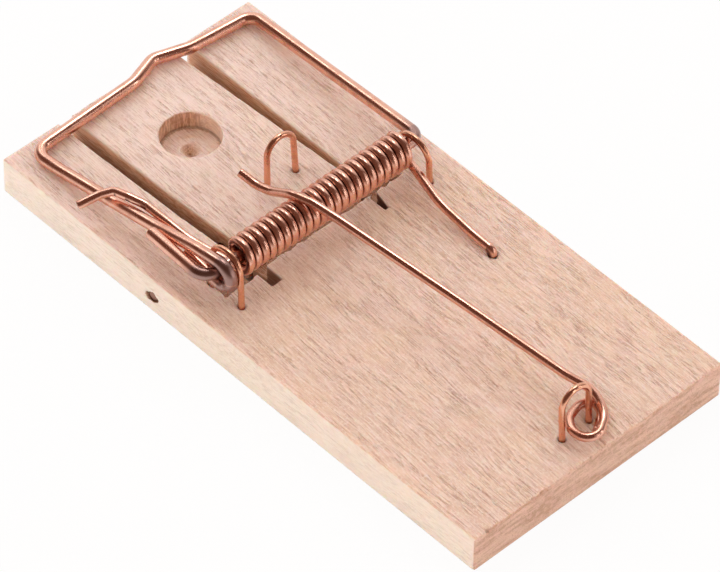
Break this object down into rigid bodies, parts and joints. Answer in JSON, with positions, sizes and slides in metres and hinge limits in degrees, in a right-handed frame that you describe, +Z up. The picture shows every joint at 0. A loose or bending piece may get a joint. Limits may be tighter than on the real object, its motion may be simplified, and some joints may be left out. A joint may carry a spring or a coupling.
{
  "type": "snap mouse trap",
  "caption": "Wooden snap mouse trap with copper-plated wire bow, torsion spring, holding rod and a wooden tongue treadle with a bait recess.",
  "frame": {"origin": "middle of the board's underside", "axes": "+X along the board to the end with the rod's anchor staple, +Y across the board to the bow's closed corner at the axle, +Z up"},
  "size_m": [0.1026, 0.051, 0.0172],
  "materials": {
    "board_wood": "sawn and planed beech, unfinished",
    "tongue_wood": "sawn and planed beech, unfinished",
    "pin_steel": "copper-plated steel wire, cut end dull brown",
    "bow_wire": "copper-plated spring steel wire, bright drawn",
    "spring_wire": "copper-plated spring steel wire, bright drawn",
    "staple_wire": "copper-plated staple wire",
    "rod_wire": "copper-plated steel wire, bright drawn"
  },
  "bodies": {
    "base": {"base_board": "board_wood", "treadle_pivot_pin": "pin_steel", "near_axle_staple": "staple_wire", "far_axle_staple": "staple_wire", "rod_anchor_staple": "staple_wire", "main_spring": "spring_wire"},
    "bow": {"striker_bow": "bow_wire"},
    "treadle": {"treadle_board": "tongue_wood", "catch_staple": "staple_wire"},
    "rod": {"holding_rod": "rod_wire"}
  },
  "joints": [
    {"name": "bow_swing", "type": "hinge", "parent": "base", "child": "bow", "pos_m": [-0.0083, 0, 0.0126], "axis": [0, 1, 0], "range_deg": [0, 192], "stiffness_Nm_per_rad": 0.08, "springref_deg": -85.94, "deforming": ["main_spring"]},
    {"name": "treadle_tilt", "type": "hinge", "parent": "base", "child": "treadle", "pos_m": [-0.0177, 0, 0.00295], "axis": [0, 1, 0], "range_deg": [-3, 0]},
    {"name": "rod_swing", "type": "hinge", "parent": "base", "child": "rod", "pos_m": [0.04875, 0, 0.0091], "axis": [0, 1, 0], "range_deg": [0, 35]}
  ]
}
